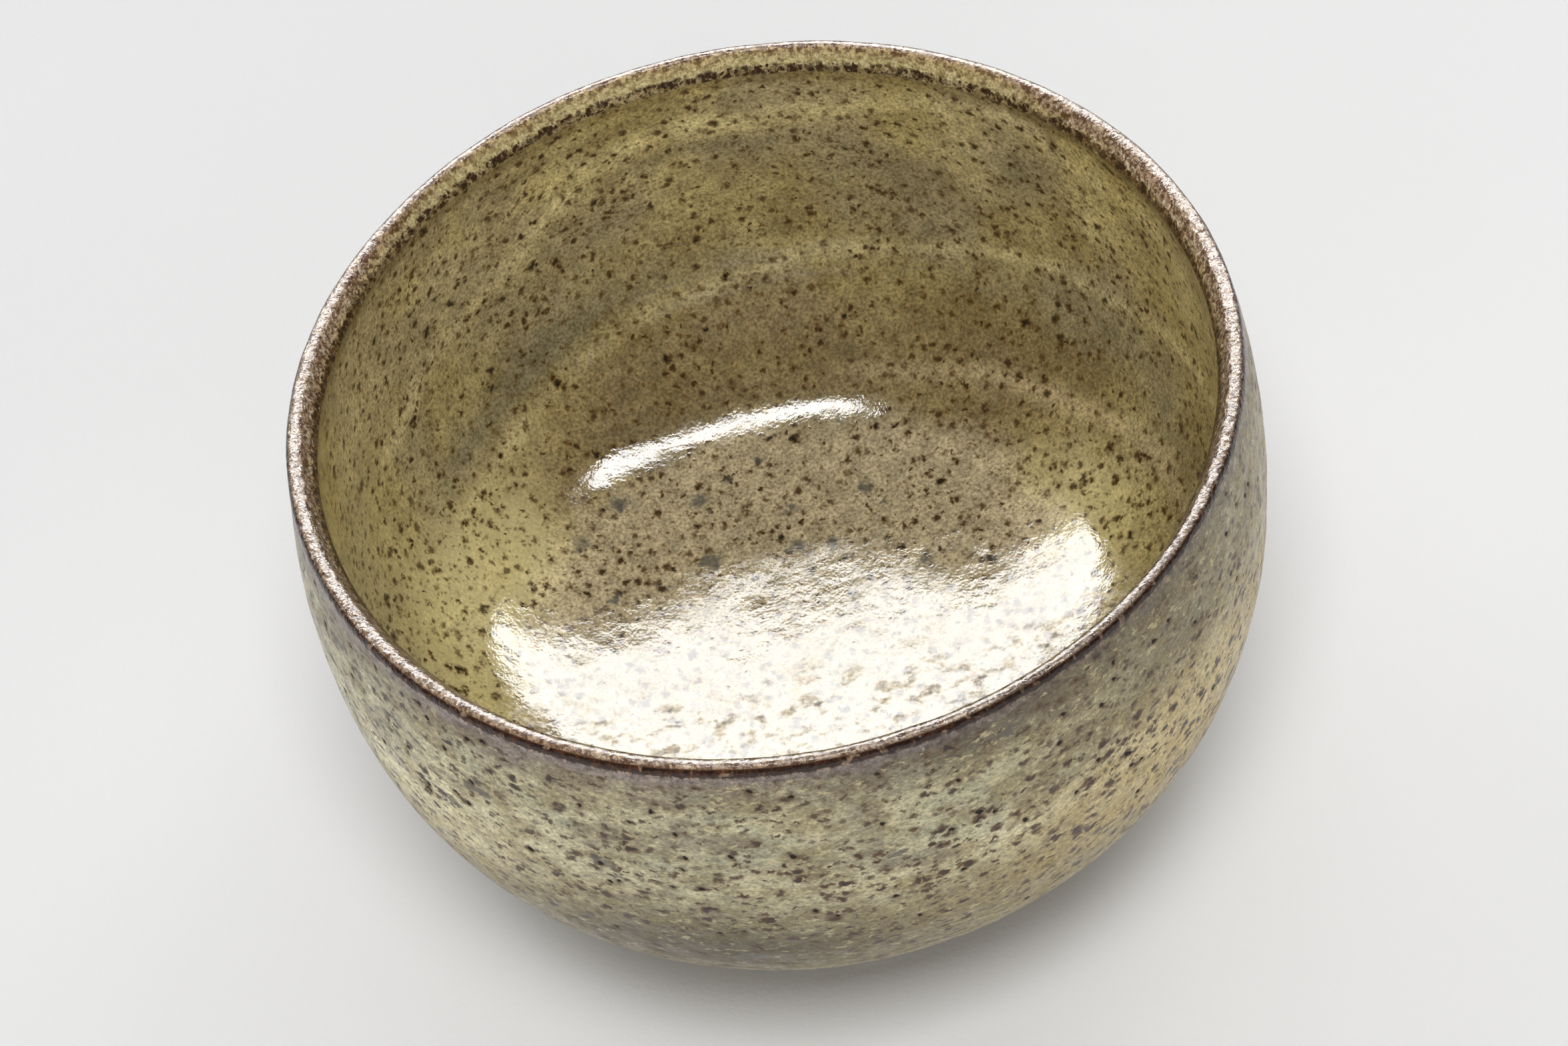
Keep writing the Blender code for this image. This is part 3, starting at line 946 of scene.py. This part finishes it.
def lip_material(depth):
    """The lip's look, running into the neighbouring coats at both seams."""
    n = Nodes("lip_glaze_breaking")
    travel = n.mark("travel")
    inner, lip, outer = inner_look(n), lip_look(n), outer_look(n)
    wobble = n.plus(travel, n.times(n.noise(2, detail=2, seed=51), 1.2))
    to_inner = n.step(wobble, -4.0, -4.6)
    to_outer = n.step(wobble, 2.6, 4.6)
    colour = n.mix(to_outer, n.mix(to_inner, lip[0], inner[0]), outer[0])
    roughness = n.blend(to_outer, n.blend(to_inner, lip[1], inner[1]), outer[1])
    height = n.blend(to_outer, n.blend(to_inner, lip[2], inner[2]), outer[2])
    return n.finish(colour, roughness, height, depth)


def clay_material(name, dark_and_light, toast_from):
    """Bare fired stoneware: sandy, with iron specks, toasted darker beyond a radius."""
    n = Nodes(name)
    radius = n.mark("radius")
    sand = n.step(n.noise(6, detail=4, seed=61, rough=0.6), 0.35, 0.65)
    colour = n.mix(sand, *dark_and_light)
    toast_edge = n.plus(radius, n.times(n.noise(5, detail=3, seed=62), 6))
    toast = n.step(toast_edge, toast_from, toast_from + 8)
    colour = n.mix(n.times(toast, 0.7), colour, TOASTED_CLAY)
    grog = n.spots(1.1, 0.42, seed=63, skew=1.2)
    colour = n.mix(n.times(grog, 0.5), colour, GROG)
    iron = n.spots(1.9, 0.55, seed=64, skew=1.5)
    colour = n.mix(n.times(iron, 0.8), colour, CLAY_IRON)
    height = n.plus(n.noise(0.5, detail=3, seed=65, rough=0.7), n.times(grog, 0.4))
    roughness = n.step(n.noise(2, detail=2, seed=66), 0.3, 0.7, 0.72, 0.92)
    return n.finish(colour, roughness, height, CLAY_BUMP)


def floor_material():
    """Plain pale paper-like floor."""
    n = Nodes("pale_floor")
    colour = n.mix(n.noise(60, detail=2, seed=71), *FLOOR_GREYS)
    return n.finish(colour, 0.75, n.noise(0.9, detail=1, seed=72), FLOOR_BUMP)


# ------------------------------------------------------------------ the set

LIGHT_TARGET = Vector((0, 0, HEIGHT / 2))
LIGHT_DISTANCE = 1.2
WORLD_STRENGTH = 0.12
FLOOR_HALF = 5.0                        # half the floor's width

# Where the photograph was taken from, if its bowl stood upright. The lens is in mm.
CAMERA_PLACE = Vector((-0.0006, -0.2810, 0.3857))
CAMERA_DOWN = math.radians(50.6)
CAMERA_ROLL = math.radians(-11.5)
CAMERA_LENS = 77.7


def soft_light(name, place, size, radiance, reflected=False):
    """A rectangular light facing the bowl, that only lights it or is only reflected in it.

    Its long side lies along X. The place is a direction from the bowl, +Y at the back, and
    the radiance is how bright its face is.
    """
    lamp = bpy.data.lights.new(name, "AREA")
    lamp.shape = "RECTANGLE"
    lamp.size, lamp.size_y = size
    lamp.energy = radiance * math.pi * size[0] * size[1]
    light = bpy.data.objects.new(name, lamp)
    away = Vector(place).normalized()
    side = (Vector((1, 0, 0)) - away * away.x).normalized()
    turn = Matrix((side, away.cross(side), away)).transposed().to_4x4()
    light.matrix_world = Matrix.Translation(LIGHT_TARGET + away * LIGHT_DISTANCE) @ turn
    light.visible_camera = False
    light.visible_diffuse = not reflected
    light.visible_glossy = reflected
    bpy.context.scene.collection.objects.link(light)


def above(elevation, side=0.0):
    """Direction at an elevation in degrees: up to 90 at the back, over 90 at the front."""
    angle = math.radians(elevation)
    return (side, math.cos(angle), math.sin(angle))


def make_set():
    """Floor, world light, soft lights and the camera."""
    mesh = bpy.data.meshes.new("floor")
    corners = [(FLOOR_HALF * x, FLOOR_HALF * y, 0) for x, y in ((-1, -1), (1, -1), (1, 1), (-1, 1))]
    mesh.from_pydata(corners, [], [(0, 1, 2, 3)])
    mesh.materials.append(floor_material())
    floor = bpy.data.objects.new("floor", mesh)
    bpy.context.scene.collection.objects.link(floor)

    world = bpy.data.worlds.new("studio")
    world.use_nodes = True
    world.node_tree.nodes["Background"].inputs["Color"].default_value = (1, 1, 1, 1)
    world.node_tree.nodes["Background"].inputs["Strength"].default_value = WORLD_STRENGTH
    bpy.context.scene.world = world
    bpy.context.scene.view_settings.view_transform = "Standard"

    soft_light("key_above", above(112), (0.50, 0.40), 15.0)
    soft_light("window_front", above(152), (2.00, 0.50), 1.7)
    soft_light("back_right", above(60, 0.6), (0.50, 0.50), 1.9)
    soft_light("back_left", above(60, -0.6), (0.50, 0.50), 1.4)
    soft_light("shine_behind", above(38.3, 0.07), (2.04, 0.76), 17.5, reflected=True)
    soft_light("shine_above", above(93.5, 0.15), (1.0, 0.15), 24, reflected=True)

    data = bpy.data.cameras.new("camera")
    data.lens = CAMERA_LENS
    data.clip_start = 0.01
    data.clip_end = 50
    camera = bpy.data.objects.new("camera", data)
    tilt = Matrix.Rotation(math.pi / 2 - CAMERA_DOWN, 4, "X")
    roll = Matrix.Rotation(CAMERA_ROLL, 4, "Z")
    camera.matrix_world = Matrix.Translation(CAMERA_PLACE) @ tilt @ roll
    bpy.context.scene.collection.objects.link(camera)
    bpy.context.scene.camera = camera


def main():
    surface = Surface()
    last = len(surface.travel) - 1
    inner = coat(surface, "inner_glaze_coat", 0, surface.inner_rows - 1,
                 "inner_glaze")
    lip = coat(surface, "lip_glaze_coat", surface.inner_rows - 1, surface.outer_start,
               "lip_band")
    outer = coat(surface, "outer_glaze_coat", surface.outer_start, last,
                 "outer_glaze")
    inner.data.materials.append(glaze_material("inner_glaze_liner", inner_look, INNER_BUMP))
    lip.data.materials.append(lip_material(LIP_BUMP))
    outer.data.materials.append(glaze_material("outer_glaze_satin", outer_look, OUTER_BUMP))
    clay = clay_piece(surface)
    clay.data.materials.append(
        clay_material("stoneware_fired", BODY_CLAY, BODY_TOASTED_FROM))
    foot = foot_piece()
    foot.data.materials.append(
        clay_material("foot_clay_trimmed", FOOT_CLAY, FOOT_TOASTED_FROM))
    make_set()


main()
